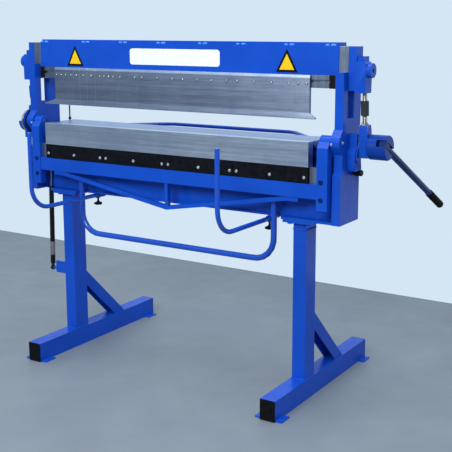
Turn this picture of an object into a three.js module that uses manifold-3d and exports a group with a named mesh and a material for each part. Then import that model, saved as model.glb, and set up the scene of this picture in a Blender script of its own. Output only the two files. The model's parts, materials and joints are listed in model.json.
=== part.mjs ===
// Manual sheet metal brake: a segmented clamp beam over a bed, with a swinging apron in front.
// Millimetres, +Z up, X along the bend line, -Y towards the operator. The machine is laid out
// about the middle of the bend line with its feet on z = 0. The finished group is then moved so
// that the origin is at the centre of the bottom of its bounding box.
// Functions that take "side" make the right-hand piece for 1 and the left-hand piece for -1.

import * as THREE from 'three';
import { mergeVertices } from 'three/addons/utils/BufferGeometryUtils.js';
import Module from 'manifold-3d';

const wasm = await Module();
wasm.setup();

// ---------------------------------------------------------------- driving dimensions

const GAP = 0.3; // between pieces that touch
const WELD = 1; // how far pieces that are one weldment run into each other
const WORKING_LENGTH = 1270;
const TABLE_Z = 1003; // working surface of the bed
const HINGE = { y: 38, z: 1004, knuckle: 24, pin: 10 }; // apron hinge, along the bend line
const STROKE = 78; // travel of the clamp beam

const FOOT = { x: 575, width: 63, height: 80, front: -175, rear: 608, wall: 3 };
const POST = { width: 55, front: 57, rear: 135, top: 694, wall: 4, vent: 12 };
const BRACE = { width: 50, top: 333, run: 391, thickness: 46, wall: 4 };
const HEAD_PLATE = { inner: 512, outer: 638, front: 36, rear: 166, thickness: 9.7 };
const ANCHOR = { reach: 25, length: 58, thickness: 6, hole: 6, inset: 34, overlap: 2 };
const CAP = { thickness: 4, plug: 18 };

const BED = { end: 718.7, front: 70, rear: 182, bottom: 704, floor: 8, web: 78, wall: 8, webTop: 918 };
// A ledge in front of the bed's floor, over each leg. The left one stops short of the gas spring.
const LEDGE = { inner: 505, leftOuter: 652, front: 36 };
const SHELF = { half: 640, front: 118, thickness: 12 };
const TABLE = { front: 39.5, rear: 180, bottom: 977, nose: 14, setback: 16 };
const RIB_SPACING = 422;
const RIB_WIDTH = 10;
const SPRING_SHELF = { inner: 680, outer: 700, rear: 226, bottom: 972, top: 992 };

const HOUSING = { inner: 719, outer: 752, boxFront: 25, front: 37, rear: 182 };
const HOUSING_LEVELS = { bottom: 704, boxTop: 886, shoulder: 898, top: 1250 };
const SLOT = { front: 71, rear: 124, bottom: 1087 };
const HINGE_LOBE = { inner: 716, radius: 30, blend: 46 };
const STOP = { inner: 767, outer: 782, radius: 46, barBottom: 930, barTop: 954, barFront: 27, barRear: 50 };

const APRON = { half: 669.7, depth: 50, bottom: 798, top: 852, wall: 5 };
const APRON_BAR = { front: 12.3, rear: 36, top: 911.7 };
const BLADE = { half: 635, rear: 36, bottom: 912 };
const STRIP = { count: 4, depth: 12, margin: 0.2 };
const TRUSS = { end: 594, kink: 546, drop: 92, bar: 16, front: 3, rear: 23, strut: 7 };
const ARM = { inner: 670, outer: 713, front: -3, rear: 30, neck: 940, shoulder: 985 };
const ARM_BOTTOM = { left: 736, right: 752 };
const U_BAR = { x: 473, y: 40, z: 538, radius: 12, bend: 85 };
const SCALE_DISC = { inner: 757, outer: 765, radius: 48 };

const BEAM = { half: 714, front: 71, rear: 137, bottom: 1238, top: 1341, wall: 7 };
const TOP_BAR = { front: 83, rear: 131, height: 12 };
const GUIDE = { front: 71.8, rear: 123.2, bottom: 1186, top: 1340 };
const RAIL = { half: 683, tongue: 704, front: 60.4, rear: 104, bottom: 1192 };
const RAIL_SLOT = { bottom: 1210, top: 1221, depth: 8 };
const SEGMENTS = [50, 55, 35, 40, 45, 120, 100, 200, 250, 270, 60]; // widths, left to right
const SEGMENT_TOP = 1237.7;
const SEGMENT_PROFILE = [
  [46, 1228], [46, 1103], [40, 1084], [40, 1081],
  [46, 1081], [60, 1092], [60, SEGMENT_TOP], [50, SEGMENT_TOP],
];
const HORN_REACH = { left: 56.5, right: 27.5 };
const HORN_TIP = 4;
const HORN_HEIGHT = 22;

const LINK = { y: 97, pin: 1257, x: 803, rod: 8, eye: 14, eyeHalf: 10, pinRadius: 8 };
const LINK_BLOCK = { inner: 788, outer: 820.5, half: 20, neck: 14 };
const LINK_BLOCK_LEVELS = { bottom: 947, shoulder: 1042, top: 1064, nut: 1072 };
const TURNBUCKLE = { bottom: 1097, top: 1150, radius: 16 };
const BRACKET = { plateOuter: 783, plateBottom: 1186, outer: 820, bottom: 1178, top: 1288, chamfer: 8 };
const BRACKET_ROOM = { inner: 791, outer: 815, front: 75.8, rear: 117, bottom: 1100, top: 1280 };
const BRACKET_BOSS = { outer: 807, front: 80, top: 1306 };
const PIVOT_HEAD = { radius: 26, outer: 836, socket: 8, socketDepth: 9 };

const SHAFT = { y: 97, z: 948, radius: 15, end: 787.5 };
const CRANK_LEAN = THREE.MathUtils.degToRad(24); // where the crank stops, short of its top
const CRANK = { throw: STROKE / 2 / Math.cos(CRANK_LEAN), radius: 20, thickness: 3.5 };
const CRANK_PIN = {
  y: SHAFT.y + CRANK.throw * Math.sin(CRANK_LEAN),
  z: SHAFT.z + CRANK.throw * Math.cos(CRANK_LEAN),
};
const LINK_LEAN = Math.atan2(CRANK_PIN.y - LINK.y, LINK.pin - CRANK_PIN.z);
const BEARING = { inner: 752.3, outer: 783 };
const BEARING_PROFILE = [
  [82, 898], [132, 898], [124, 972], [124, 1030], [90, 1030], [90, 985], [74, 962], [74, 925],
];
const HUB = { inner: 825, outer: 897, radius: 45, chamfer: 3, spigot: 3.5, spigotRadius: 12, slotRoom: 8 };
const LEVER = { droop: 27, radius: 12.5, wall: 3, length: 652, tail: 38, tailHalf: 12, slack: 0.6 };
const GRIP = { start: 508, end: 664, radius: 15.5, tip: 5 };

const SUPPORT = { x: 438, z: 693, y: -291, top: 1000, inner: 138, radius: 9, bend: 92 };
const SOCKET = { radius: 12.3, front: 57, length: 53, slack: 0.4, boss: 7, bossBottom: 678, screw: 12 };
const LEFT_SOCKET_SETBACK = 32;
const KNOB = { stem: 4, hub: 8.5, bottom: 650, wingTop: 662, hubTop: 667.5, wingReach: 19, wingHalf: 4.5 };

const GAS = { x: 668, y: 62, bottom: 345, top: 900, stud: 5, eye: 10, eyeHalf: 5, half: 6, lean: 12 };
const GAS_ANGLE = Math.asin(GAS.lean / (GAS.top - GAS.bottom));
const GAS_BODY = { radius: 10.5, bottom: 364, top: 715, neck: 6, bore: 4.6, boreBottom: 560 };
const GAS_ROD = { radius: 4, bottom: 585, end: 7 };
const GAS_FOOT = { outer: 656, rear: 67, bottom: 328, top: 380 };
const GAS_LUG = { inner: 677, outer: 689, front: 24, half: 13, stub: 674.6, stubRadius: 4 };
const GAS_ROOM = { inner: 652, rear: 76 }; // where the floor of the bed leaves room for the gas spring

const BOW = { end: 628, kink: 320, kinkY: 475, z: 974, radius: 8, bend: 50 };
const SPRING = { x: 690, y: 215, radius: 9, bottom: 1090, top: 1290, bore: 3.5, boreTop: 1282 };
const SPRING_ROD = { radius: 3, top: 1200, ball: 7, ballZ: 1003, base: 992.3 };
const SPRING_LUG = { inner: 676, outer: 704, rear: 229, bottom: 1266, top: 1276 };

// ---------------------------------------------------------------- colours

const material = (color, roughness, metalness) =>
  new THREE.MeshStandardMaterial({ color, roughness, metalness });
const paint = () => material(0x1450c8, 0.42, 0);
const steel = () => material(0xa4abb3, 0.32, 0.9);
const darkSteel = () => material(0x5a5f64, 0.4, 0.8);
const blackSteel = () => material(0x17181b, 0.5, 0.5);
const blackPlastic = () => material(0x101113, 0.6, 0);

// ---------------------------------------------------------------- shapes

const X_AXIS = new THREE.Vector3(1, 0, 0);
const Y_AXIS = new THREE.Vector3(0, 1, 0);
const Z_AXIS = new THREE.Vector3(0, 0, 1);
const ROUND = 28; // sides of a large circle
const FINE = 16; // sides of a small one

const shapeOf = (points) => new THREE.Shape(points.map(([a, b]) => new THREE.Vector2(a, b)));

function circle(centreA, centreB, radius, sides = ROUND) {
  const step = (2 * Math.PI) / sides;
  return Array.from({ length: sides }, (_, i) => [
    centreA + radius * Math.cos(i * step),
    centreB + radius * Math.sin(i * step),
  ]);
}

function rectangle(a0, a1, b0, b1) {
  return [[a0, b0], [a1, b0], [a1, b1], [a0, b1]];
}

function extrude(points, depth, holes) {
  const shape = shapeOf(points);
  shape.holes = holes.map(shapeOf);
  return new THREE.ExtrudeGeometry(shape, { depth, bevelEnabled: false, steps: 1 });
}

// A profile of [y, z] points, swept between x0 and x1.
function alongX(points, x0, x1, holes = []) {
  const turn = new THREE.Matrix4().makeBasis(Y_AXIS, Z_AXIS, X_AXIS);
  return extrude(points, Math.abs(x1 - x0), holes).applyMatrix4(turn).translate(Math.min(x0, x1), 0, 0);
}

// A profile of [z, x] points, swept between y0 and y1.
function alongY(points, y0, y1, holes = []) {
  const turn = new THREE.Matrix4().makeBasis(Z_AXIS, X_AXIS, Y_AXIS);
  return extrude(points, Math.abs(y1 - y0), holes).applyMatrix4(turn).translate(0, Math.min(y0, y1), 0);
}

// A profile of [x, y] points, swept between z0 and z1.
function alongZ(points, z0, z1, holes = []) {
  return extrude(points, z1 - z0, holes).translate(0, 0, z0);
}

function box(x0, x1, y0, y1, z0, z1) {
  const size = [Math.abs(x1 - x0), Math.abs(y1 - y0), Math.abs(z1 - z0)];
  return new THREE.BoxGeometry(...size).translate((x0 + x1) / 2, (y0 + y1) / 2, (z0 + z1) / 2);
}

const rodX = (y, z, radius, x0, x1, sides) => alongX(circle(y, z, radius, sides), x0, x1);
const rodY = (x, z, radius, y0, y1, sides) => alongY(circle(z, x, radius, sides), y0, y1);
const rodZ = (x, y, radius, z0, z1, sides) => alongZ(circle(x, y, radius, sides), z0, z1);

function toSolid(geometry) {
  const bare = geometry.clone();
  bare.deleteAttribute('normal');
  bare.deleteAttribute('uv');
  const merged = mergeVertices(bare, 1e-4);
  return new wasm.Manifold(new wasm.Mesh({
    numProp: 3,
    vertProperties: new Float32Array(merged.attributes.position.array),
    triVerts: new Uint32Array(merged.index.array),
  }));
}

function toGeometry(solid) {
  const mesh = solid.getMesh();
  const geometry = new THREE.BufferGeometry();
  geometry.setAttribute('position', new THREE.BufferAttribute(mesh.vertProperties, 3));
  geometry.setIndex(new THREE.BufferAttribute(mesh.triVerts, 1));
  geometry.computeVertexNormals();
  return geometry;
}

const join = (...pieces) => toGeometry(pieces.map(toSolid).reduce((a, b) => a.add(b)));
const cut = (...pieces) => toGeometry(pieces.map(toSolid).reduce((a, b) => a.subtract(b)));
const common = (...pieces) => toGeometry(pieces.map(toSolid).reduce((a, b) => a.intersect(b)));

// A round bar through the given corners, bent to the given radius at each of them.
function bentBar(corners, radius, bend, sides, steps) {
  const points = corners.map((corner) => new THREE.Vector3(...corner));
  const path = new THREE.CurvePath();
  let start = points[0];
  points.slice(1, -1).forEach((corner, i) => {
    const back = points[i].clone().sub(corner).normalize();
    const ahead = points[i + 2].clone().sub(corner).normalize();
    const turn = Math.PI - back.angleTo(ahead);
    const reach = bend * Math.tan(turn / 2);
    const handle = reach - (4 / 3) * bend * Math.tan(turn / 4);
    const enter = corner.clone().addScaledVector(back, reach);
    const leave = corner.clone().addScaledVector(ahead, reach);
    path.add(new THREE.LineCurve3(start, enter));
    path.add(new THREE.CubicBezierCurve3(
      enter,
      corner.clone().addScaledVector(back, handle),
      corner.clone().addScaledVector(ahead, handle),
      leave,
    ));
    start = leave;
  });
  path.add(new THREE.LineCurve3(start, points.at(-1)));
  const section = shapeOf(circle(0, 0, radius, sides));
  return new THREE.ExtrudeGeometry(section, { steps, extrudePath: path, bevelEnabled: false });
}

// ---------------------------------------------------------------- legs

function footTube(side) {
  const half = FOOT.width / 2;
  const x = side * FOOT.x;
  const outer = rectangle(0, FOOT.height, x - half, x + half);
  const inner = rectangle(FOOT.wall, FOOT.height - FOOT.wall, x - half + FOOT.wall, x + half - FOOT.wall);
  return alongY(outer, FOOT.front, FOOT.rear, [inner]);
}

function anchorLug(side, outward, y) {
  const wall = side * FOOT.x + outward * (FOOT.width / 2 - ANCHOR.overlap);
  const tip = side * FOOT.x + outward * (FOOT.width / 2 + ANCHOR.reach);
  const half = ANCHOR.length / 2;
  const outer = rectangle(Math.min(wall, tip), Math.max(wall, tip), y - half, y + half);
  const hole = circle(tip - outward * (ANCHOR.reach / 2), y, ANCHOR.hole, FINE);
  return alongZ(outer, 0, ANCHOR.thickness, [hole]);
}

function post(side) {
  const half = POST.width / 2;
  const x = side * FOOT.x;
  const outer = rectangle(x - half, x + half, POST.front, POST.rear);
  const inner = rectangle(
    x - half + POST.wall, x + half - POST.wall, POST.front + POST.wall, POST.rear - POST.wall,
  );
  return alongZ(outer, FOOT.height - WELD, POST.top, [inner]);
}

// A folded channel, open on the underside.
function brace(side) {
  const x = side * FOOT.x;
  const rise = BRACE.top - FOOT.height;
  const run = BRACE.run - POST.rear;
  const slope = Math.hypot(rise, run);
  const band = (top, thickness, half) => {
    const down = (thickness * slope) / run;
    const back = (thickness * slope) / rise;
    const shift = (top * slope) / rise;
    return alongX([
      [POST.rear - WELD, BRACE.top - (top * slope) / run + (WELD * rise) / run],
      [POST.rear - WELD, BRACE.top - (top * slope) / run - down],
      [BRACE.run - shift - back, FOOT.height - WELD],
      [BRACE.run - shift + (WELD * run) / rise, FOOT.height - WELD],
    ], x - half, x + half);
  };
  const outside = band(0, BRACE.thickness, BRACE.width / 2);
  const inside = band(BRACE.wall, BRACE.thickness, BRACE.width / 2 - BRACE.wall);
  return cut(outside, inside);
}

// The tab and stud that hold the foot of the gas spring.
function gasFoot() {
  const wall = FOOT.x + POST.width / 2 - WELD;
  return join(
    box(-wall, -GAS_FOOT.outer, POST.front, GAS_FOOT.rear, GAS_FOOT.bottom, GAS_FOOT.top),
    rodX(GAS.y, GAS.bottom, GAS.stud, -(GAS_FOOT.outer - WELD), -(GAS.x + GAS.lean + GAS.half), FINE),
  );
}

function ledge(side) {
  const outer = side < 0 ? LEDGE.leftOuter : BED.end;
  const bottom = BED.bottom - GAP - WELD;
  const top = BED.bottom + BED.floor;
  return box(side * LEDGE.inner, side * outer, LEDGE.front, BED.front - GAP, bottom, top);
}

function leg(side) {
  const { inner, outer, front, rear, thickness } = HEAD_PLATE;
  const headPlate = box(
    side * inner, side * outer, front, rear, POST.top - WELD, POST.top - WELD + thickness + WELD,
  );
  const lugs = [-1, 1].flatMap((outward) => [
    anchorLug(side, outward, FOOT.front + ANCHOR.inset),
    anchorLug(side, outward, FOOT.rear - ANCHOR.inset),
  ]);
  const whole = join(footTube(side), post(side), brace(side), headPlate, ledge(side), ...lugs);
  const middle = (POST.front + POST.rear) / 2;
  const vent = rodZ(side * FOOT.x, middle, POST.vent, FOOT.height / 2, FOOT.height + WELD, FINE);
  const vented = cut(whole, vent);
  return side < 0 ? join(vented, gasFoot()) : vented;
}

function footCap(side, end) {
  const half = FOOT.width / 2;
  const room = half - FOOT.wall - GAP;
  const x = side * FOOT.x;
  const face = end < 0 ? FOOT.front : FOOT.rear;
  return join(
    box(x - half, x + half, face + end * GAP, face + end * CAP.thickness, 0, FOOT.height),
    box(
      x - room, x + room, face - end * CAP.plug, face + end * (GAP + WELD),
      FOOT.wall + GAP, FOOT.height - FOOT.wall - GAP,
    ),
  );
}

// ---------------------------------------------------------------- fixed frame

// The half-moon angle stop outside the left housing, on a bar that passes under the scale disc.
function angleStop() {
  const { inner, outer, radius, barBottom, barTop, barFront, barRear } = STOP;
  const disc = rodX(HINGE.y, HINGE.z, radius, -inner, -outer);
  const below = box(-inner + 1, -outer - 1, HINGE.y - 2 * radius, HINGE.y + 2 * radius, barBottom, HINGE.z);
  return join(
    common(disc, below),
    box(-(HOUSING.outer - WELD), -outer, barFront, barRear, barBottom, barTop),
    box(-inner, -outer, barFront, barRear, barBottom, HINGE.z - radius / 2),
  );
}

// The round boss over the apron hinge, with flanks that run tangent into the front edge.
function hingeLobe(side) {
  const { inner, radius, blend } = HINGE_LOBE;
  const tangent = Math.acos(radius / blend);
  const y = HINGE.y - radius * Math.sin(tangent);
  const rise = radius * Math.cos(tangent);
  const ends = [side * inner, side * HOUSING.outer];
  return join(
    rodX(HINGE.y, HINGE.z, radius, ...ends),
    alongX([
      [HINGE.y, HINGE.z + blend], [y, HINGE.z + rise], [y, HINGE.z - rise], [HINGE.y, HINGE.z - blend],
    ], ...ends),
  );
}

function sideHousing(side) {
  const { inner, outer, boxFront, front, rear } = HOUSING;
  const { bottom, boxTop, shoulder, top } = HOUSING_LEVELS;
  const cheek = alongX([
    [boxFront, bottom], [rear, bottom], [rear, top], [SLOT.rear, top], [SLOT.rear, SLOT.bottom],
    [SLOT.front, SLOT.bottom], [SLOT.front, top], [front, top], [front, shoulder], [boxFront, boxTop],
  ], side * inner, side * outer);
  const lobe = hingeLobe(side);
  const through = [side * (inner - 20), side * (outer + 20)];
  const pinBore = rodX(HINGE.y, HINGE.z, HINGE.pin + GAP, ...through, FINE);
  const shaftBore = rodX(SHAFT.y, SHAFT.z, SHAFT.radius + GAP, ...through);
  const housing = cut(join(cheek, lobe), pinBore, shaftBore);
  return side < 0 ? join(housing, angleStop()) : housing;
}

function shaftBearing(side) {
  const bore = circle(SHAFT.y, SHAFT.z, SHAFT.radius + GAP);
  return alongX(BEARING_PROFILE, side * BEARING.inner, side * BEARING.outer, [bore]);
}

// The left socket sits further back under the bed than the right one.
function socketFront(side) {
  return side < 0 ? SOCKET.front + LEFT_SOCKET_SETBACK : SOCKET.front;
}

// The tube a support arm slides in, with a threaded boss for its clamp screw.
function supportSocket(side) {
  const x = side * SUPPORT.x;
  const front = socketFront(side);
  const rear = front + SOCKET.length;
  const screwY = front + SOCKET.screw;
  const saddleFront = Math.max(front, BED.front);
  const tube = rodY(x, SUPPORT.z, SOCKET.radius, front, rear, FINE);
  const boss = rodZ(x, screwY, SOCKET.boss, SOCKET.bossBottom, SUPPORT.z, FINE);
  const saddle = box(x - SOCKET.boss, x + SOCKET.boss, saddleFront, rear, SUPPORT.z, BED.bottom + WELD);
  const bore = rodY(x, SUPPORT.z, SUPPORT.radius + SOCKET.slack, front - 1, rear + 1, FINE);
  const screwHole = rodZ(x, screwY, KNOB.stem + SOCKET.slack, SOCKET.bossBottom - 1, SUPPORT.z, FINE);
  return cut(join(tube, boss, saddle), bore, screwHole);
}

function bedRib(x) {
  const floor = BED.bottom + BED.floor - WELD;
  const profile = [
    [BED.web + WELD, floor], [BED.rear - WELD, floor], [BED.rear - WELD, TABLE.bottom - 2],
    [SHELF.front, TABLE.bottom - 2], [SHELF.front, BED.webTop + 8], [BED.web + WELD, BED.webTop - 8],
  ];
  return alongX(profile, x - RIB_WIDTH / 2, x + RIB_WIDTH / 2);
}

function springShelf(side) {
  const { inner, outer, rear, bottom, top } = SPRING_SHELF;
  return box(side * inner, side * outer, BED.rear - BED.wall, rear, bottom, top);
}

function bedBeam() {
  const top = TABLE.bottom - GAP;
  const floorTop = BED.bottom + BED.floor;
  const floor = box(-BED.end, BED.end, BED.front, BED.rear, BED.bottom, floorTop);
  const room = box(-GAS_ROOM.inner, -BED.end - 1, 0, GAS_ROOM.rear, BED.bottom - 1, floorTop + 1);
  const ribs = [-1.5, -0.5, 0.5, 1.5].map((place) => bedRib(place * RIB_SPACING));
  return join(
    cut(floor, room),
    box(-BED.end, BED.end, BED.web, BED.web + BED.wall, BED.bottom, BED.webTop),
    box(-BED.end, BED.end, BED.rear - BED.wall, BED.rear, BED.bottom, top),
    box(-SHELF.half, SHELF.half, SHELF.front, BED.rear, top - SHELF.thickness, top),
    ...ribs, springShelf(-1), springShelf(1), supportSocket(-1), supportSocket(1),
  );
}

function bedPlate() {
  const half = WORKING_LENGTH / 2;
  return alongX([
    [TABLE.front, TABLE_Z], [TABLE.front, TABLE_Z - TABLE.nose], [TABLE.front + TABLE.setback, TABLE.bottom],
    [TABLE.rear, TABLE.bottom], [TABLE.rear, TABLE_Z],
  ], -half, half);
}

function rearSupportBow() {
  const { end, kink, kinkY, z, radius, bend } = BOW;
  const wall = BED.rear + GAP;
  const corners = [[-end, wall - radius, z], [-kink, kinkY, z], [kink, kinkY, z], [end, wall - radius, z]];
  const behind = box(-HOUSING.inner, HOUSING.inner, wall, kinkY + kink, z - 2 * radius, z + 2 * radius);
  return common(bentBar(corners, radius, bend, 12, 40), behind);
}

function rightHingePin() {
  return rodX(HINGE.y, HINGE.z, HINGE.pin, ARM.inner + 4, HOUSING.outer, FINE);
}

function springRod(side) {
  const { radius, top, ball, ballZ, base } = SPRING_ROD;
  const sphere = new THREE.SphereGeometry(ball, 16, 10).rotateX(Math.PI / 2);
  return join(
    rodZ(side * SPRING.x, SPRING.y, radius, base, top, 12),
    sphere.translate(side * SPRING.x, SPRING.y, ballZ),
  );
}

// ---------------------------------------------------------------- clamp beam

function springLug(side) {
  const { inner, outer, rear, bottom, top } = SPRING_LUG;
  const hole = rodZ(side * SPRING.x, SPRING.y, SPRING.radius + GAP, bottom - 1, top + 1, ROUND);
  return cut(box(side * inner, side * outer, BEAM.rear - WELD, rear, bottom, top), hole);
}

function clampBeam() {
  const { half, front, rear, bottom, top, wall } = BEAM;
  const hollow = rectangle(front + wall, rear - wall, bottom + wall, top - wall);
  return join(
    alongX(rectangle(front, rear, bottom, top), -half, half, [hollow]),
    box(-half, half, TOP_BAR.front, TOP_BAR.rear, top - WELD, top + TOP_BAR.height),
    springLug(-1), springLug(1),
  );
}

function endGuide(side) {
  return box(
    side * (BEAM.half + GAP), side * HOUSING.outer, GUIDE.front, GUIDE.rear, GUIDE.bottom, GUIDE.top,
  );
}

function springCylinder(side) {
  const { radius, bottom, top, bore, boreTop } = SPRING;
  const x = side * SPRING.x;
  return cut(rodZ(x, SPRING.y, radius, bottom, top), rodZ(x, SPRING.y, bore, bottom - 1, boreTop, 12));
}

function linkBracket(side) {
  const { plateOuter, plateBottom, outer, bottom, top, chamfer } = BRACKET;
  const plate = box(
    side * (HOUSING.outer + 0.6), side * plateOuter, GUIDE.front, GUIDE.rear, plateBottom, GUIDE.top,
  );
  const clevis = alongY([
    [bottom, side * (plateOuter - WELD)], [bottom, side * (outer - 2)], [top - chamfer, side * outer],
    [top, side * (outer - chamfer)], [top, side * (plateOuter - WELD)],
  ], GUIDE.front, GUIDE.rear);
  const room = box(
    side * BRACKET_ROOM.inner, side * BRACKET_ROOM.outer, BRACKET_ROOM.front, BRACKET_ROOM.rear,
    BRACKET_ROOM.bottom, BRACKET_ROOM.top,
  );
  const boss = box(
    side * (plateOuter - WELD), side * BRACKET_BOSS.outer, BRACKET_BOSS.front, GUIDE.rear,
    top - WELD, BRACKET_BOSS.top,
  );
  const pin = rodX(LINK.y, LINK.pin, LINK.pinRadius, side * (plateOuter + 1), side * outer, FINE);
  const head = cut(
    rodX(LINK.y, LINK.pin, PIVOT_HEAD.radius, side * (outer - 2.5), side * PIVOT_HEAD.outer),
    rodX(
      LINK.y, LINK.pin, PIVOT_HEAD.socket,
      side * (PIVOT_HEAD.outer - PIVOT_HEAD.socketDepth), side * (PIVOT_HEAD.outer + 1), 6,
    ),
  );
  return join(cut(join(plate, clevis, boss), room), pin, head);
}

function segmentRail() {
  const { half, tongue, front, rear, bottom } = RAIL;
  const top = BEAM.bottom - GAP;
  return join(
    alongX([
      [front, bottom], [rear, bottom], [rear, top], [front, top], [front, RAIL_SLOT.top],
      [front + RAIL_SLOT.depth, RAIL_SLOT.top], [front + RAIL_SLOT.depth, RAIL_SLOT.bottom],
      [front, RAIL_SLOT.bottom],
    ], -half, half),
    box(-tongue, tongue, front + RAIL_SLOT.depth + 2, rear - 4, bottom + 6, top - WELD),
  );
}

// The pointed ear that reaches past the end segment into a folded corner.
function horn(side) {
  const edge = side * (sum(SEGMENTS) / 2);
  const tip = edge + side * (side < 0 ? HORN_REACH.left : HORN_REACH.right);
  const [, , , [front, foot]] = SEGMENT_PROFILE;
  const depth = 10;
  const wedge = alongY([
    [foot, edge - side * WELD], [foot, tip], [foot + HORN_TIP, tip], [foot + HORN_HEIGHT, edge - side * WELD],
  ], front, front + depth);
  return common(wedge, alongX(SEGMENT_PROFILE, edge - side * WELD, tip));
}

const sum = (values) => values.reduce((total, value) => total + value, 0);

function segment(index) {
  const start = sum(SEGMENTS.slice(0, index)) - sum(SEGMENTS) / 2;
  const body = alongX(SEGMENT_PROFILE, start + GAP / 2, start + SEGMENTS[index] - GAP / 2);
  if (index === 0) return join(body, horn(-1));
  if (index === SEGMENTS.length - 1) return join(body, horn(1));
  return body;
}

// ---------------------------------------------------------------- clamp drive

// Tips a piece drawn upright about the upper pivot, so that its foot reaches the crank pin.
function leaning(geometry) {
  return geometry.translate(0, -LINK.y, -LINK.pin).rotateX(LINK_LEAN).translate(0, LINK.y, LINK.pin);
}

// The adjustable rod between clamp beam and crank. Its lower pivot is left open.
function linkRod(side) {
  const { inner, outer, half, neck } = LINK_BLOCK;
  const { bottom, shoulder, top, nut } = LINK_BLOCK_LEVELS;
  const x = side * LINK.x;
  const faces = [x - LINK.eyeHalf, x + LINK.eyeHalf];
  const eye = cut(
    join(
      rodX(LINK.y, LINK.pin, LINK.eye, ...faces),
      rodZ(x, LINK.y, LINK.rod, top - WELD, LINK.pin, FINE),
    ),
    rodX(LINK.y, LINK.pin, LINK.pinRadius + GAP, faces[0] - 1, faces[1] + 1, FINE),
  );
  const block = alongX([
    [LINK.y - half, bottom], [LINK.y + half, bottom], [LINK.y + half, shoulder], [LINK.y + neck, top],
    [LINK.y - neck, top], [LINK.y - half, shoulder],
  ], side * inner, side * outer);
  return leaning(join(eye, block, rodZ(x, LINK.y, LINK.rod + 5, top - WELD, nut, 6)));
}

function turnbuckle(side) {
  const bore = circle(side * LINK.x, LINK.y, LINK.rod + GAP, FINE);
  const hexagon = circle(side * LINK.x, LINK.y, TURNBUCKLE.radius, 6);
  return leaning(alongZ(hexagon, TURNBUCKLE.bottom, TURNBUCKLE.top, [bore]));
}

// The web that carries the crank pin off the shaft, as a link with round ends.
function crankWeb(side) {
  const { radius, thickness } = CRANK;
  const x0 = side * (SHAFT.end - thickness);
  const x1 = side * SHAFT.end;
  const acrossY = radius * Math.cos(CRANK_LEAN);
  const acrossZ = radius * Math.sin(CRANK_LEAN);
  return join(
    rodX(SHAFT.y, SHAFT.z, radius, x0, x1),
    rodX(CRANK_PIN.y, CRANK_PIN.z, radius, x0, x1),
    alongX([
      [SHAFT.y - acrossY, SHAFT.z + acrossZ], [SHAFT.y + acrossY, SHAFT.z - acrossZ],
      [CRANK_PIN.y + acrossY, CRANK_PIN.z - acrossZ], [CRANK_PIN.y - acrossY, CRANK_PIN.z + acrossZ],
    ], x0, x1),
  );
}

function clampShaft() {
  const shaft = rodX(SHAFT.y, SHAFT.z, SHAFT.radius, -SHAFT.end + WELD, SHAFT.end - WELD);
  return join(shaft, crankWeb(-1), crankWeb(1));
}

const LEVER_X = HUB.outer - LEVER.radius - LEVER.slack;

// Lays a piece drawn along +Y from the origin along the lever, out from the hub.
function onLever(geometry) {
  const angle = THREE.MathUtils.degToRad(-LEVER.droop);
  return geometry.rotateX(angle).translate(LEVER_X, CRANK_PIN.y, CRANK_PIN.z);
}

function eccentricHub() {
  const { inner, outer, radius, chamfer, spigot, spigotRadius, slotRoom } = HUB;
  const profile = [
    [0, inner - spigot], [spigotRadius, inner - spigot], [spigotRadius, inner], [radius - chamfer, inner],
    [radius, inner + chamfer], [radius, outer - chamfer], [radius - chamfer, outer], [0, outer],
  ];
  const turned = new THREE.LatheGeometry(profile.map(([r, x]) => new THREE.Vector2(r, x)), 40);
  turned.rotateZ(-Math.PI / 2).translate(0, CRANK_PIN.y, CRANK_PIN.z);
  const half = LEVER.radius + LEVER.slack;
  const slot = onLever(box(-half - slotRoom, 2 * half, -2 * radius, 2 * radius, -half, half));
  return cut(turned, slot);
}

function clampLever() {
  const { radius, wall, length, tail, tailHalf } = LEVER;
  const tube = cut(
    rodY(0, 0, radius, -tail / 2, length, 20),
    rodY(0, 0, radius - wall, tail, length + 1, 20),
  );
  return onLever(join(tube, box(-radius, radius, -tail, 0, -tailHalf, tailHalf)));
}

function leverGrip() {
  const { start, end, radius, tip } = GRIP;
  const inner = LEVER.radius + GAP;
  const profile = [
    [inner, start], [radius - 1, start], [radius, start + 2], [radius, end - tip],
    [radius - tip, end], [0, end], [0, LEVER.length + GAP], [inner, LEVER.length + GAP], [inner, start],
  ];
  return onLever(new THREE.LatheGeometry(profile.map(([r, y]) => new THREE.Vector2(r, y)), 24));
}

// ---------------------------------------------------------------- apron

function apronBeam() {
  const { half, depth, bottom, top, wall } = APRON;
  const { end, kink, drop, bar, front, rear, strut } = TRUSS;
  const weld = bottom + WELD;
  const tension = alongY([
    [weld, -end], [weld, -kink], [bottom - drop, 0], [weld, kink], [weld, end],
    [bottom - bar, end], [bottom - bar, kink], [bottom - drop - bar, 0],
    [bottom - bar, -kink], [bottom - bar, -end],
  ], front, rear);
  const hollow = rectangle(wall, depth - wall, bottom + wall, top - wall);
  return join(
    alongX(rectangle(0, depth, bottom, top), -half, half, [hollow]),
    tension,
    box(-strut, strut, front, rear, bottom - drop - bar / 2, weld),
  );
}

function apronBar() {
  return box(-APRON.half, APRON.half, APRON_BAR.front, APRON_BAR.rear, APRON.top + GAP, APRON_BAR.top);
}

function apronBlade() {
  return box(-BLADE.half, BLADE.half, 0, BLADE.rear, BLADE.bottom, TABLE_Z);
}

function wearStrip(index) {
  const length = WORKING_LENGTH / STRIP.count;
  const start = index * length - WORKING_LENGTH / 2;
  const ends = [start + STRIP.margin, start + length - STRIP.margin];
  return box(...ends, 0, STRIP.depth, APRON.top + GAP, APRON_BAR.top);
}

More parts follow.
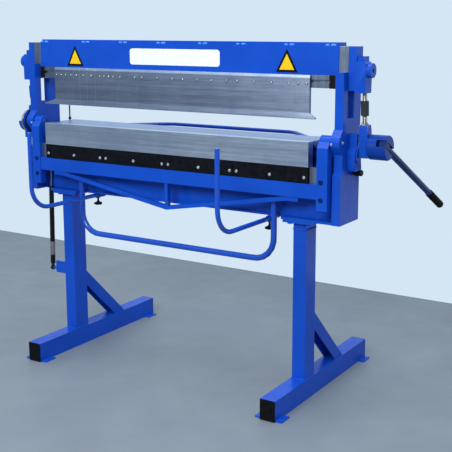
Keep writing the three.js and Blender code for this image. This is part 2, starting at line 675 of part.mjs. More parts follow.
// The lug on the left arm that the top of the gas spring pushes against.
function gasLug() {
  const { inner, outer, front, half, stub, stubRadius } = GAS_LUG;
  return join(
    box(-inner, -outer, front, GAS.y, GAS.top - half, GAS.top + half),
    rodX(GAS.y, GAS.top, half, -inner, -outer),
    rodX(GAS.y, GAS.top, stubRadius, -stub, -(inner + WELD), FINE),
  );
}

function apronArm(side) {
  const { inner, outer, front, rear, neck, shoulder } = ARM;
  const bottom = side < 0 ? ARM_BOTTOM.left : ARM_BOTTOM.right;
  const x0 = side * inner;
  const x1 = side * outer;
  const { y, z, knuckle, pin } = HINGE;
  const bar = alongX([
    [front, bottom + 6], [front + 6, bottom], [rear, bottom], [rear, neck],
    [y + 0.8 * knuckle, z - knuckle / 2], [y - knuckle / 3, z + 0.9 * knuckle], [front, shoulder],
  ], x0, x1);
  const bore = rodX(y, z, pin + GAP, side * (inner - 1), side * (outer + 1), FINE);
  const arm = cut(join(bar, rodX(y, z, knuckle, x0, x1)), bore);
  return side < 0 ? join(arm, gasLug()) : arm;
}

function uBar() {
  const { x, y, z, radius, bend } = U_BAR;
  const top = APRON.bottom - GAP;
  return bentBar([[-x, y, top], [-x, y, z], [x, y, z], [x, y, top]], radius, bend, 12, 52);
}

function scaleDisc() {
  const { inner, outer, radius } = SCALE_DISC;
  return join(
    rodX(HINGE.y, HINGE.z, radius, -inner, -outer, 40),
    rodX(HINGE.y, HINGE.z, HINGE.pin, -(ARM.inner + 4), -(inner + WELD), FINE),
  );
}

// ---------------------------------------------------------------- supports and gas spring

function supportArm(side) {
  const { x, y, z, top, inner, radius, bend } = SUPPORT;
  const corners = [[side * x, inner, z], [side * x, y, z], [side * x, y, top]];
  return bentBar(corners, radius, bend, 12, 40);
}

function clampKnob(side) {
  const x = side * SUPPORT.x;
  const y = socketFront(side) + SOCKET.screw;
  const { stem, hub, bottom, wingTop, hubTop, wingReach, wingHalf } = KNOB;
  return join(
    rodZ(x, y, stem, hubTop - WELD, SUPPORT.z - SUPPORT.radius - GAP, FINE),
    rodZ(x, y, hub, bottom, hubTop, FINE),
    box(x - wingReach, x + wingReach, y - wingHalf, y + wingHalf, bottom + 1, wingTop),
  );
}

// Tips a piece drawn upright over the top stud, so that its foot ends further out than its top.
function gasLeaning(geometry) {
  return geometry.translate(GAS.x, 0, -GAS.top).rotateY(GAS_ANGLE).translate(-GAS.x, 0, GAS.top);
}

function gasCylinder() {
  const { radius, bottom, top, neck, bore, boreBottom } = GAS_BODY;
  const eye = rodX(GAS.y, GAS.bottom, GAS.eye, -GAS.x - GAS.eyeHalf, -GAS.x + GAS.eyeHalf);
  const body = join(
    eye,
    rodZ(-GAS.x, GAS.y, neck, GAS.bottom, bottom + 1, FINE),
    rodZ(-GAS.x, GAS.y, radius, bottom, top),
  );
  return gasLeaning(cut(
    body,
    rodX(GAS.y, GAS.bottom, GAS.stud + 2 * GAP, -GAS.x - GAS.eye, -GAS.x + GAS.eye, FINE),
    rodZ(-GAS.x, GAS.y, bore, boreBottom, top + 1, FINE),
  ));
}

function gasRod() {
  return gasLeaning(join(
    rodZ(-GAS.x, GAS.y, GAS_ROD.radius, GAS_ROD.bottom, GAS.top, FINE),
    rodX(GAS.y, GAS.top, GAS_ROD.end, -GAS.x - GAS.half, -GAS.x + GAS.half, FINE),
  ));
}

// ---------------------------------------------------------------- assembly

const SIDES = [['left', -1], ['right', 1]];
const ENDS = [['front', -1], ['rear', 1]];
const nodes = [
  ['bed_beam', bedBeam(), paint()],
  ['bed_plate', bedPlate(), steel()],
  ['rear_support_bow', rearSupportBow(), paint()],
  ['hinge_pin_right', rightHingePin(), paint()],
  ['clamp_beam', clampBeam(), paint()],
  ['segment_rail', segmentRail(), steel()],
  ['clamp_shaft', clampShaft(), darkSteel()],
  ['eccentric_hub', eccentricHub(), paint()],
  ['clamp_lever', clampLever(), paint()],
  ['lever_grip', leverGrip(), blackPlastic()],
  ['apron_beam', apronBeam(), paint()],
  ['apron_bar', apronBar(), steel()],
  ['apron_blade', apronBlade(), steel()],
  ['apron_u_bar', uBar(), paint()],
  ['scale_disc', scaleDisc(), steel()],
  ['gas_cylinder', gasCylinder(), blackSteel()],
  ['gas_rod', gasRod(), steel()],
];
for (const [label, side] of SIDES) {
  nodes.push(
    [`leg_${label}`, leg(side), paint()],
    [`side_housing_${label}`, sideHousing(side), paint()],
    [`shaft_bearing_${label}`, shaftBearing(side), paint()],
    [`spring_rod_${label}`, springRod(side), steel()],
    [`end_guide_${label}`, endGuide(side), steel()],
    [`spring_cylinder_${label}`, springCylinder(side), blackSteel()],
    [`link_bracket_${label}`, linkBracket(side), paint()],
    [`link_rod_${label}`, linkRod(side), darkSteel()],
    [`turnbuckle_${label}`, turnbuckle(side), darkSteel()],
    [`apron_arm_${label}`, apronArm(side), paint()],
    [`support_arm_${label}`, supportArm(side), paint()],
    [`clamp_knob_${label}`, clampKnob(side), blackPlastic()],
  );
  for (const [place, end] of ENDS) {
    nodes.push([`foot_cap_${label}_${place}`, footCap(side, end), blackPlastic()]);
  }
}
for (let i = 0; i < STRIP.count; i += 1) {
  nodes.push([`wear_strip_${i + 1}`, wearStrip(i), blackPlastic()]);
}
SEGMENTS.forEach((_, i) => {
  nodes.push([`segment_${String(i + 1).padStart(2, '0')}`, segment(i), steel()]);
});

const machine = new THREE.Group();
for (const [name, geometry, finish] of nodes) {
  const mesh = new THREE.Mesh(geometry, finish);
  mesh.name = name;
  machine.add(mesh);
}
const bounds = new THREE.Box3().setFromObject(machine);
const middle = bounds.getCenter(new THREE.Vector3());
for (const mesh of machine.children) {
  mesh.geometry.translate(-middle.x, -middle.y, -bounds.min.z);
}

export default machine;
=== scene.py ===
"""Sheet metal brake: materials, fasteners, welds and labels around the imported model."""

import json
import math

import bmesh
import bpy
from mathutils import Matrix, Vector


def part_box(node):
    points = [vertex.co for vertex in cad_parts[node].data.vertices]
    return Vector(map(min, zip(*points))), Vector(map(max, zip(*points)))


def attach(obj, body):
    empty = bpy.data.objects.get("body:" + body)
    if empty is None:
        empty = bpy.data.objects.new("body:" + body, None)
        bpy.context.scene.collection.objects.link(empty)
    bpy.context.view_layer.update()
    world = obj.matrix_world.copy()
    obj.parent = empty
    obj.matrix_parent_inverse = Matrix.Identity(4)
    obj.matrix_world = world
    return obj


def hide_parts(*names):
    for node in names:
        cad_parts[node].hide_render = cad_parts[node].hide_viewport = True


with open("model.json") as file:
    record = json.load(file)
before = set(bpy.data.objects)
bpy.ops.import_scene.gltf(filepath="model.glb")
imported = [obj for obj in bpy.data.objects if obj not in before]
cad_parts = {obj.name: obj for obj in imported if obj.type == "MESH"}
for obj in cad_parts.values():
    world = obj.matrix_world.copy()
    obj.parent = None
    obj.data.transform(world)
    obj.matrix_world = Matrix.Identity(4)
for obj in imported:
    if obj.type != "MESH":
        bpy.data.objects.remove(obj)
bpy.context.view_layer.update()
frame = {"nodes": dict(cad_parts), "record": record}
NODES = frame["nodes"]
JOINTS = {joint["name"]: joint for joint in frame["record"]["behaviour"]["joints"]}

MM = 0.001
X, Y, Z = Vector((1, 0, 0)), Vector((0, 1, 0)), Vector((0, 0, 1))
SIDES = {"left": -1, "right": 1}  # each side, and the way outward along X


# ---------------------------------------------------------------- materials


class Look:
    """A Principled material whose colour, roughness and bump come from noise in metres."""

    NOISE_LOW, NOISE_HIGH = 0.3, 0.7  # most of a noise's values lie between these

    def __init__(self, name, **sockets):
        self.material = bpy.data.materials.new(name)
        self.material.use_nodes = True
        self.tree = self.material.node_tree
        self.shader = self.tree.nodes["Principled BSDF"]
        self.bump_chain = None
        for socket, value in sockets.items():
            self.shader.inputs[socket.replace("_", " ")].default_value = value

    def node(self, kind, **inputs):
        node = self.tree.nodes.new(kind)
        for socket, value in inputs.items():
            if isinstance(value, bpy.types.NodeSocket):
                self.tree.links.new(value, node.inputs[socket])
            else:
                node.inputs[socket].default_value = value
        return node

    def noise(self, scale, stretch=(1, 1, 1), detail=4.0, roughness=0.55):
        place = self.node("ShaderNodeTexCoord").outputs["Object"]
        mapped = self.node("ShaderNodeMapping", Vector=place, Scale=stretch).outputs["Vector"]
        noise = self.node(
            "ShaderNodeTexNoise", Vector=mapped, Scale=scale, Detail=detail, Roughness=roughness
        )
        return noise.outputs["Fac"]

    def rings(self, scale):
        """Bands that follow one another up the object, as a thread does."""
        place = self.node("ShaderNodeTexCoord").outputs["Object"]
        waves = self.node("ShaderNodeTexWave", Vector=place, Scale=scale, Distortion=0.0)
        waves.bands_direction = "Z"
        return waves.outputs["Fac"]

    def height(self, low, high):
        """0 to 1 between two heights above the floor."""
        place = self.node("ShaderNodeTexCoord").outputs["Object"]
        z = self.node("ShaderNodeSeparateXYZ", Vector=place).outputs["Z"]
        node = self.node("ShaderNodeMapRange", Value=z)
        node.inputs["From Min"].default_value = low
        node.inputs["From Max"].default_value = high
        return node.outputs["Result"]

    def ramp(self, value, *stops):
        """Turns a value into a colour. A stop is a position and a colour."""
        node = self.node("ShaderNodeValToRGB", Fac=value)
        ramp = node.color_ramp
        while len(ramp.elements) < len(stops):
            ramp.elements.new(0.5)
        for element, (position, colour) in zip(ramp.elements, stops):
            element.position = position
            element.color = (*colour, 1)
        return node.outputs["Color"]

    def multiply(self, first, second):
        node = self.tree.nodes.new("ShaderNodeMix")
        node.data_type = "RGBA"
        node.blend_type = "MULTIPLY"
        sockets = {i.name: i for i in node.inputs if i.enabled}
        sockets["Factor"].default_value = 1.0
        self.tree.links.new(first, sockets["A"])
        self.tree.links.new(second, sockets["B"])
        return next(o for o in node.outputs if o.enabled)

    def colour(self, socket):
        self.tree.links.new(socket, self.shader.inputs["Base Color"])

    def roughness(self, value, low, high):
        node = self.node("ShaderNodeMapRange", Value=value)
        node.inputs["From Min"].default_value = self.NOISE_LOW
        node.inputs["From Max"].default_value = self.NOISE_HIGH
        node.inputs["To Min"].default_value = low
        node.inputs["To Max"].default_value = high
        self.tree.links.new(node.outputs["Result"], self.shader.inputs["Roughness"])

    def bump(self, value, height, strength):
        node = self.node("ShaderNodeBump", Height=value, Strength=strength, Distance=height)
        if self.bump_chain is not None:
            self.tree.links.new(self.bump_chain, node.inputs["Normal"])
        self.bump_chain = node.outputs["Normal"]
        self.tree.links.new(self.bump_chain, self.shader.inputs["Normal"])


def paint(name, dark, light, gloss=0.25):
    """Sprayed paint: slow shade changes, a fine orange peel and a few duller patches."""
    look = Look(name, Coat_Weight=gloss, Coat_Roughness=0.12, Specular_IOR_Level=0.1)
    look.colour(look.ramp(look.noise(scale=5.0), (0.32, dark), (0.68, light)))
    look.roughness(look.noise(scale=26.0, detail=6.0), low=0.34, high=0.5)
    look.bump(look.noise(scale=420.0, detail=2.0), height=0.12 * MM, strength=0.35)
    look.bump(look.noise(scale=60.0, detail=1.0), height=0.3 * MM, strength=0.2)
    return look.material


ALONG_X, ALONG_Z, ALL_ROUND = (0.012, 1, 1), (1, 1, 0.012), (1, 1, 1)  # the way the grinding lines run
WHITE, STREAK_GREY, LINE_GREY = (1, 1, 1), (0.74, 0.75, 0.78), (0.72, 0.72, 0.73)


def ground_steel(name, dark, light, lines_run, rough, painted_light_bands=None):
    """Machined steel: fine grinding lines and broader streaks along one direction, with faint stains.

    The optional last argument holds the lowest and the highest point of a piece and the tones of painted
    highlight and shade between them, by height.
    """
    look = Look(name, Metallic=1.0)
    grain = look.noise(scale=900.0, stretch=lines_run, detail=3.0)
    streaks = look.noise(scale=90.0, stretch=lines_run)
    stains = look.noise(scale=7.0, detail=5.0, roughness=0.6)
    toned = look.ramp(stains, (0.3, dark), (0.62, light))
    broad = look.ramp(streaks, (0.35, STREAK_GREY), (0.65, WHITE))
    fine = look.ramp(grain, (0.25, LINE_GREY), (0.75, WHITE))
    # Optional bands of painted highlight and shade by height, multiplied into the colour.
    if painted_light_bands:
        bottom, top, painted_light_stops = painted_light_bands
        toned = look.multiply(toned, look.ramp(look.height(bottom, top), *painted_light_stops))
    look.colour(look.multiply(look.multiply(toned, broad), fine))
    look.roughness(grain, *rough)
    look.bump(grain, height=0.06 * MM, strength=0.5)
    return look.material


def moulded(name, dark, light, rough, grain_scale, grain_height):
    """Moulded plastic or printed film, with a faint mottle and a fine grain."""
    look = Look(name, Specular_IOR_Level=0.06)
    look.colour(look.ramp(look.noise(scale=60.0, detail=5.0), (0.35, dark), (0.65, light)))
    grain = look.noise(scale=grain_scale, detail=3.0)
    look.roughness(grain, *rough)
    look.bump(grain, grain_height, strength=0.6)
    return look.material


def printed_film(name, dark, light, rough=(0.35, 0.5)):
    return moulded(name, dark, light, rough, grain_scale=200.0, grain_height=0.03 * MM)


def grip_rubber():
    look = Look("ribbed_rubber", Specular_IOR_Level=0.06)
    mottle = look.noise(scale=90.0)
    look.colour(look.ramp(mottle, (0.3, (0.004, 0.004, 0.005)), (0.7, (0.01, 0.01, 0.011))))
    look.roughness(look.noise(scale=300.0), low=0.5, high=0.75)
    look.bump(look.noise(scale=500.0, detail=3.0), height=0.2 * MM, strength=0.5)
    return look.material


def threaded_steel():
    look = Look("threaded_steel", Metallic=1.0)
    mottle = look.noise(scale=40.0)
    look.colour(look.ramp(mottle, (0.3, (0.28, 0.28, 0.25)), (0.7, (0.5, 0.5, 0.44))))
    look.roughness(look.noise(scale=120.0), low=0.28, high=0.42)
    look.bump(look.rings(scale=100.0), height=0.6 * MM, strength=0.8)
    return look.material


def floor_paint():
    look = Look("floor_paint")
    clouds = look.noise(scale=3.0, detail=6.0)
    look.colour(look.ramp(clouds, (0.3, (0.17, 0.2, 0.235)), (0.7, (0.2, 0.235, 0.27))))
    look.roughness(look.noise(scale=9.0), low=0.5, high=0.62)
    look.bump(look.noise(scale=120.0), height=0.4 * MM, strength=0.2)
    return look.material


def segment_steel():
    """The slanting foot and the chamfer along the top are painted brighter than the face between them, as
    painted highlights where they face up to the light.
    """
    low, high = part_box("segment_06")
    # Painted highlights: the foot and the chamfer face up to the light, so they get brighter tones than the
    # darker face between them.
    foot, face, chamfer = ((shade, shade, shade) for shade in (0.62, 0.45, 1))
    painted_light_stops = [(0, foot), (0.135, foot), (0.15, face), (0.93, face), (0.945, chamfer)]
    return ground_steel(
        "segment_steel", (0.44, 0.58, 0.82), (0.6, 0.73, 1.0), ALONG_X, (0.34, 0.48), (low.z, high.z, painted_light_stops)
    )


BLUE = paint("blue_enamel", (0.003, 0.06, 0.45), (0.005, 0.075, 0.53))
BAR_BLUE = paint("bar_blue", (0.003, 0.06, 0.45), (0.005, 0.075, 0.53), gloss=0.9)
# The blue paint darkened as painted shade for the eccentric hubs, which sit in shade.
HUB_BLUE_PAINTED_SHADE = paint("hub_blue_painted_shade", (0.002, 0.036, 0.28), (0.003, 0.05, 0.36), gloss=0.15)
# The blue paint lightened as a painted highlight, for the weld beads and the leg bolts.
PAINTED_HIGHLIGHT_BLUE = paint("painted_highlight_blue", (0.03, 0.2, 0.8), (0.06, 0.28, 0.9), gloss=0.6)
# The blue paint darkened to deep navy as painted shade, for the side-lit lever; the arm bolts use it too.
PAINTED_SHADE_BLUE = paint("painted_shade_blue", (0.0015, 0.016, 0.11), (0.002, 0.023, 0.15), gloss=0.1)
BLACK_ENAMEL = paint("black_enamel", (0.004, 0.004, 0.005), (0.008, 0.008, 0.01), gloss=0.15)

# Ground steel for the blade, its colour tinted blue as a painted reflection of the blue surroundings.
BLADE_STEEL_WITH_PAINTED_BLUE_REFLECTION = ground_steel("blade_steel_painted_blue_reflection", (0.6, 0.72, 0.9), (0.74, 0.86, 1.0), ALONG_X, (0.32, 0.44))
# Ground steel for the table, its colour tinted blue as a painted reflection of the blue paint round it.
TABLE_STEEL_WITH_PAINTED_BLUE_REFLECTION = ground_steel("table_steel_painted_blue_reflection", (0.3, 0.44, 0.76), (0.37, 0.52, 0.86), ALONG_X, (0.26, 0.38))
SEGMENT_STEEL_WITH_PAINTED_LIGHT = segment_steel()
GUIDE_STEEL = ground_steel("guide_steel", (0.2, 0.26, 0.36), (0.34, 0.42, 0.54), ALONG_Z, (0.32, 0.5))
ROD_STEEL = ground_steel("rod_steel", (0.5, 0.5, 0.5), (0.66, 0.66, 0.66), ALONG_Z, (0.16, 0.28))
DARK_STEEL = ground_steel("dark_steel", (0.06, 0.065, 0.07), (0.12, 0.125, 0.13), ALONG_Z, (0.35, 0.5))
SCREW_STEEL = ground_steel("screw_steel", (0.75, 0.8, 0.88), (0.9, 0.93, 0.97), ALL_ROUND, (0.3, 0.45))
THREADED = threaded_steel()

BLACK_MOULDED = moulded(
    "black_moulded", (0.003, 0.003, 0.004), (0.008, 0.008, 0.01), (0.45, 0.65), 700.0, 0.1 * MM
)
STRIP_BLACK = moulded(
    "strip_black", (0.003, 0.0035, 0.006), (0.007, 0.008, 0.012), (0.42, 0.6), 300.0, 0.15 * MM
)
GRIP_RUBBER = grip_rubber()
LABEL_YELLOW = printed_film("label_yellow", (0.8, 0.5, 0.015), (0.88, 0.58, 0.02))
LABEL_WHITE = printed_film("label_white", (0.78, 0.84, 0.88), (0.86, 0.9, 0.93))
LABEL_GREY = printed_film("label_grey", (0.12, 0.125, 0.13), (0.2, 0.2, 0.21), (0.4, 0.55))

SLOT_LOOK = {
    "blue_paint": BLUE,
    "steel": ROD_STEEL,
    "segment_steel": SEGMENT_STEEL_WITH_PAINTED_LIGHT,
    "dark_steel": DARK_STEEL,
    "black_steel": BLACK_ENAMEL,
    "black_plastic": BLACK_MOULDED,
    "black_grip": GRIP_RUBBER,
}
# Nodes with a look of their own, and families of nodes whose names differ in the last word.
FAMILY_LOOK = {
    "bed_plate": TABLE_STEEL_WITH_PAINTED_BLUE_REFLECTION,
    "apron_blade": BLADE_STEEL_WITH_PAINTED_BLUE_REFLECTION,
    "apron_bar": GUIDE_STEEL,
    "segment_rail": GUIDE_STEEL,
    "end_guide": GUIDE_STEEL,
    "link_rod": THREADED,
    "spring_rod": BLACK_ENAMEL,
    "clamp_lever": PAINTED_SHADE_BLUE,
    "clamp_shaft": BLUE,
    "eccentric_hub": HUB_BLUE_PAINTED_SHADE,
    "apron_u_bar": BAR_BLUE,
    "rear_support_bow": BAR_BLUE,
    "support_arm": BAR_BLUE,
    "wear_strip": STRIP_BLACK,
}


# ---------------------------------------------------------------- CAD nodes


def soften(node, width):
    """Rounds a CAD node's hard edges and shades it smoothly, without touching its mesh."""
    mesh = node.data
    custom = mesh.attributes.get("custom_normal")
    if custom:
        mesh.attributes.remove(custom)
    mesh.shade_smooth()
    weld = node.modifiers.new("weld", "WELD")
    weld.merge_threshold = 0.01 * MM
    flatten = node.modifiers.new("flatten", "DECIMATE")
    flatten.decimate_type = "DISSOLVE"
    flatten.angle_limit = math.radians(0.5)
    bevel = node.modifiers.new("bevel", "BEVEL")
    bevel.width = width
    bevel.segments = 2
    bevel.limit_method = "ANGLE"
    bevel.angle_limit = math.radians(32)
    bevel.harden_normals = True


SHARP_EDGE, SOFT_EDGE = 0.5 * MM, 1.6 * MM
SHARP_NODES = {"bed_plate", "apron_blade", "apron_bar", "segment_rail"}
SHARP_FAMILIES = ("segment", "spring", "gas")


def dress(part):
    """Gives a CAD node its look and its rounded edges."""
    name = part["node"]
    node = NODES[name]
    family = name.rpartition("_")[0]
    look = FAMILY_LOOK.get(name) or FAMILY_LOOK.get(family) or SLOT_LOOK[part["material_slot"]]
    node.data.materials.clear()
    node.data.materials.append(look)
    sharp = name in SHARP_NODES or name.startswith(SHARP_FAMILIES)
    soften(node, SHARP_EDGE if sharp else SOFT_EDGE)


for subpart in frame["record"]["subparts"]:
    dress(subpart)


# ---------------------------------------------------------------- building pieces


def turned(bm, profile, at, axis, sides=28):
    """Adds a turned solid. profile holds (radius, distance along the axis) from end to end."""
    rotation = Z.rotation_difference(axis).to_matrix()
    rings = []
    for radius, height in profile:
        if radius == 0:
            rings.append([bm.verts.new(at + rotation @ Vector((0, 0, height)))])
            continue
        angles = [2 * math.pi * i / sides for i in range(sides)]
        rings.append([
            bm.verts.new(at + rotation @ Vector((radius * math.cos(a), radius * math.sin(a), height)))
            for a in angles
        ])
    for low, high in zip(rings, rings[1:]):
        for i in range(sides):
            j = (i + 1) % sides
            corners = [low[i % len(low)], low[j % len(low)], high[j % len(high)], high[i % len(high)]]
            bm.faces.new(list(dict.fromkeys(corners)))


def prism(bm, outline, offset):
    """Adds a prism: a closed outline of points, swept by an offset."""
    low = [bm.verts.new(p) for p in outline]
    high = [bm.verts.new(p + offset) for p in outline]
    bm.faces.new(low)
    bm.faces.new(high)
    for i in range(len(low)):
        j = (i + 1) % len(low)
        bm.faces.new([low[i], low[j], high[j], high[i]])


def piece(name, bm, material, body, bevel=0.0):
    """Turns a drawn mesh into an object that moves with a CAD body."""
    bmesh.ops.recalc_face_normals(bm, faces=bm.faces)
    mesh = bpy.data.meshes.new(name)
    bm.to_mesh(mesh)
    bm.free()
    mesh.shade_smooth()
    mesh.set_sharp_from_angle(angle=math.radians(38))
    mesh.materials.append(material)
    obj = bpy.data.objects.new(name, mesh)
    bpy.context.scene.collection.objects.link(obj)
    if bevel:
        modifier = obj.modifiers.new("bevel", "BEVEL")
        modifier.width = bevel
        modifier.segments = 3
        modifier.limit_method = "ANGLE"
        modifier.harden_normals = True
    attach(obj, body)
    return obj


def cap_screw(bm, at, axis, radius, height):
    """A round head with a hex socket, standing out along the axis."""
    edge, socket, socket_floor = 0.18 * radius, 0.52 * radius, 0.35 * height
    head = [(0, -height), (radius, -height), (radius, height - edge), (radius - edge, height)]
    turned(bm, [*head, (socket, height)], at, axis, sides=24)
    turned(bm, [(socket, height), (socket * 0.96, socket_floor), (0, socket_floor)], at, axis, sides=6)


def hex_bolt(bm, at, axis, size):
    """A hexagon head on a washer. size is half the width across corners."""
    washer, rim, rim_top = 0.22 * size, 1.3 * size, 1.24 * size
    head, chamfer, head_top = washer + 0.75 * size, 0.12 * size, 0.86 * size
    turned(bm, [(0, 0), (rim, 0), (rim, 0.7 * washer), (rim_top, washer), (0, washer)], at, axis, sides=24)
    turned(bm, [(0, washer), (size, washer), (size, head - chamfer), (head_top, head), (0, head)],
           at, axis, sides=6)


def weld_bead(bm, start, end, radius):
    """A rippled bead of weld between two points, rounded off at both."""
    run = end - start
    length = run.length
    steps = max(8, round(length / (1.1 * radius)) * 2)
    taper = 1.5 * radius
    profile = [(0, 0)]
    for i in range(1, steps):
        along = length * i / steps
        reach = min(along, length - along, taper) / taper
        swell = 1 + 0.1 * (-1) ** i
        profile.append((radius * math.sqrt(1 - (1 - reach) ** 2) * swell, along))
    profile.append((0, length))
    turned(bm, profile, start, run.normalized(), sides=10)


def inner_x(name, sign):
    """The side of a node that faces the middle of the machine."""
    low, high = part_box(name)
    return low.x if sign > 0 else high.x


def outer_x(name, sign):
    return inner_x(name, -sign)


# ---------------------------------------------------------------- apron details

MIDDLE = sum(corner.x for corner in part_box("bed_plate")) / 2  # halfway along the folding edge
HINGE = Vector(JOINTS["apron_swing"]["pos_m"])

STRIP_SCREWS_ALONG = (14 * MM, 158 * MM, 301 * MM)
STRIP_SCREW_LEVEL = 0.36  # of the strip's height


def strip_screws():
    bm = bmesh.new()
    for index in range(1, 5):
        low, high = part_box(f"wear_strip_{index}")
        level = low.z + STRIP_SCREW_LEVEL * (high.z - low.z)
        for along in STRIP_SCREWS_ALONG:
            cap_screw(bm, Vector((low.x + along, low.y, level)), -Y, radius=6 * MM, height=2.4 * MM)
    piece("strip_screws", bm, SCREW_STEEL, "apron")


ARM_BOLT_HEIGHTS = (46 * MM, 111 * MM)
ARM_BOLT_INSET = 18 * MM


def arm_bolts(side, sign):
    name = f"apron_arm_{side}"
    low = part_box(name)[0]
    bm = bmesh.new()
    for height in ARM_BOLT_HEIGHTS:
        at = Vector((inner_x(name, sign) + sign * ARM_BOLT_INSET, low.y, low.z + height))
        cap_screw(bm, at, -Y, radius=9 * MM, height=5 * MM)
    # The bolt heads use the blue darkened as painted shade.
    piece(f"arm_bolts_{side}", bm, PAINTED_SHADE_BLUE, "apron")


LOBE_RADIUS = 30 * MM  # the rounded corner of the side housing, round the hinge
LOBE_SCREW = {"out": 8 * MM, "drop": 5 * MM, "radius": 4.5 * MM, "height": 2 * MM}


def knuckle_screw(side, sign):
    """The small screw in the front of the housing's lobe, just outside the apron arm."""
    x = outer_x(f"apron_arm_{side}", sign) + sign * LOBE_SCREW["out"]
    at = Vector((x, HINGE.y - LOBE_RADIUS, HINGE.z - LOBE_SCREW["drop"]))
    bm = bmesh.new()
    cap_screw(bm, at, -Y, LOBE_SCREW["radius"], LOBE_SCREW["height"])
    piece(f"knuckle_screw_{side}", bm, SCREW_STEEL, "frame")


NIPPLE_PROFILE = [
    (0, -1 * MM), (5 * MM, -1 * MM), (5 * MM, 1.5 * MM), (3 * MM, 2 * MM), (3 * MM, 4 * MM), (0, 5 * MM),
]


def grease_nipple():
    bm = bmesh.new()
    at = Vector((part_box("hinge_pin_right")[1].x, HINGE.y, HINGE.z))
    turned(bm, NIPPLE_PROFILE, at, X, sides=20)
    piece("grease_nipple", bm, SCREW_STEEL, "frame")


SCALE_DEGREES, SCALE_STEP, SCALE_LONG_STEP, SCALE_START = 135, 5, 15, -10
TICK = {"long": 7 * MM, "short": 4 * MM, "half": 0.35 * MM, "thickness": 0.3 * MM, "rim": 3 * MM}


def scale_marks():
    """The graduations of the angle scale, on the outer face of its disc."""
    low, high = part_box("scale_disc")
    centre = Vector((low.x, (low.y + high.y) / 2, (low.z + high.z) / 2))
    reach = (high.z - low.z) / 2 - TICK["rim"]
    bm = bmesh.new()
    for degrees in range(0, SCALE_DEGREES + 1, SCALE_STEP):
        angle = math.radians(degrees + SCALE_START)
        length = TICK["short"] if degrees % SCALE_LONG_STEP else TICK["long"]
        outward = Vector((0, math.cos(angle), math.sin(angle)))
        across = Vector((0, -math.sin(angle), math.cos(angle))) * TICK["half"]
        start, end = centre + outward * (reach - length), centre + outward * reach
        prism(bm, [start - across, end - across, end + across, start + across], -TICK["thickness"] * X)
    piece("scale_marks", bm, BLACK_MOULDED, "apron")


strip_screws()
for side, sign in SIDES.items():
    arm_bolts(side, sign)
    knuckle_screw(side, sign)
grease_nipple()
scale_marks()


# ---------------------------------------------------------------- clamp beam details

TOP_BAR_STEP = 12 * MM  # how far the bar on top stands above the hollow section, and behind its face
beam_low, beam_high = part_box("clamp_beam")
BEAM_FRONT, BEAM_TOP = beam_low.y, beam_high.z - TOP_BAR_STEP
rail_low, rail_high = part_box("segment_rail")

SCREWS_PER_SEGMENT = (2, 2, 1, 1, 1, 4, 2, 3, 4, 4, 2)
SEGMENT_ROW = 1225 * MM  # the width of all the segments, without the ears at both ends
SEGMENT_NOSE = 6 * MM  # how far a segment's foot stands in front of its face
NARROW, NARROW_INSET, WIDE_INSET = 100 * MM, 12 * MM, 24 * MM
SCREW_LEVEL = 15 * MM  # above the rail's lower edge
# A thin dark disc round each segment screw, standing 0.3 mm out of the face, as painted shade where a recess
# round the screw would be.
SHADE_DISC_PROFILE = [(0, -1 * MM), (6 * MM, -1 * MM), (6 * MM, 0.3 * MM), (0, 0.3 * MM)]


def segment_screws():
    screws, shade_discs = bmesh.new(), bmesh.new()
    for index, count in enumerate(SCREWS_PER_SEGMENT, 1):
        low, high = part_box(f"segment_{index:02d}")
        left = max(low.x, MIDDLE - SEGMENT_ROW / 2)
        width = min(high.x, MIDDLE + SEGMENT_ROW / 2) - left
        inset = NARROW_INSET if width < NARROW else WIDE_INSET
        for k in range(count):
            along = width / 2 if count == 1 else inset + (width - 2 * inset) * k / (count - 1)
            at = Vector((left + along, low.y + SEGMENT_NOSE, rail_low.z + SCREW_LEVEL))
            turned(shade_discs, SHADE_DISC_PROFILE, at, -Y, sides=24)
            cap_screw(screws, at, -Y, radius=4.4 * MM, height=1.8 * MM)
    # The dark discs are painted shade round the screw heads.
    piece("segment_screw_shade_discs", shade_discs, DARK_STEEL, "clamp_beam")
    piece("segment_screws", screws, SCREW_STEEL, "clamp_beam")


BEAD_PLACES = (0.012, 0.175, 0.315, 0.45, 0.59, 0.712, 0.857, 0.975)  # shares of the beam's length
BEAD_RADIUS = 5.5 * MM
BEAD_BACK, BEAD_UP = TOP_BAR_STEP - 2.5 * MM, 1.5 * MM
BEAD_PAIR = ((-13 * MM, 9 * MM), (11 * MM, 12 * MM))  # where each of two beads sits, and half its length


def beam_beads():
    """Pairs of weld beads in the corner between the hollow section and the bar on top."""
    bm = bmesh.new()
    for place in BEAD_PLACES:
        x = beam_low.x + place * (beam_high.x - beam_low.x)
        centre = Vector((x, BEAM_FRONT + BEAD_BACK, BEAM_TOP + BEAD_UP))
        for shift, half in BEAD_PAIR:
            weld_bead(bm, centre + (shift - half) * X, centre + (shift + half) * X, BEAD_RADIUS)
    # The beads take the blue lightened as a painted highlight.
    piece("beam_weld_beads", bm, PAINTED_HIGHLIGHT_BLUE, "clamp_beam")


def sticker(name, outline, material, thickness):
    bm = bmesh.new()
    prism(bm, outline, -thickness * Y)
    piece(name, bm, material, "clamp_beam", bevel=0.15 * MM)


def triangle(x, z, width, height, y):
    """The corners of an upright triangle sticker."""
    return [Vector((x - width / 2, y, z)), Vector((x + width / 2, y, z)), Vector((x, y, z + height))]


def rounded_rectangle(x0, x1, z0, z1, y, radius, steps=6):
    points = []
    for cx, cz, first in ((x1 - radius, z1 - radius, 0), (x0 + radius, z1 - radius, 90),
                          (x0 + radius, z0 + radius, 180), (x1 - radius, z0 + radius, 270)):
        for i in range(steps + 1):
            angle = math.radians(first + 90 * i / steps)
            points.append(Vector((cx + radius * math.cos(angle), y, cz + radius * math.sin(angle))))
    return points


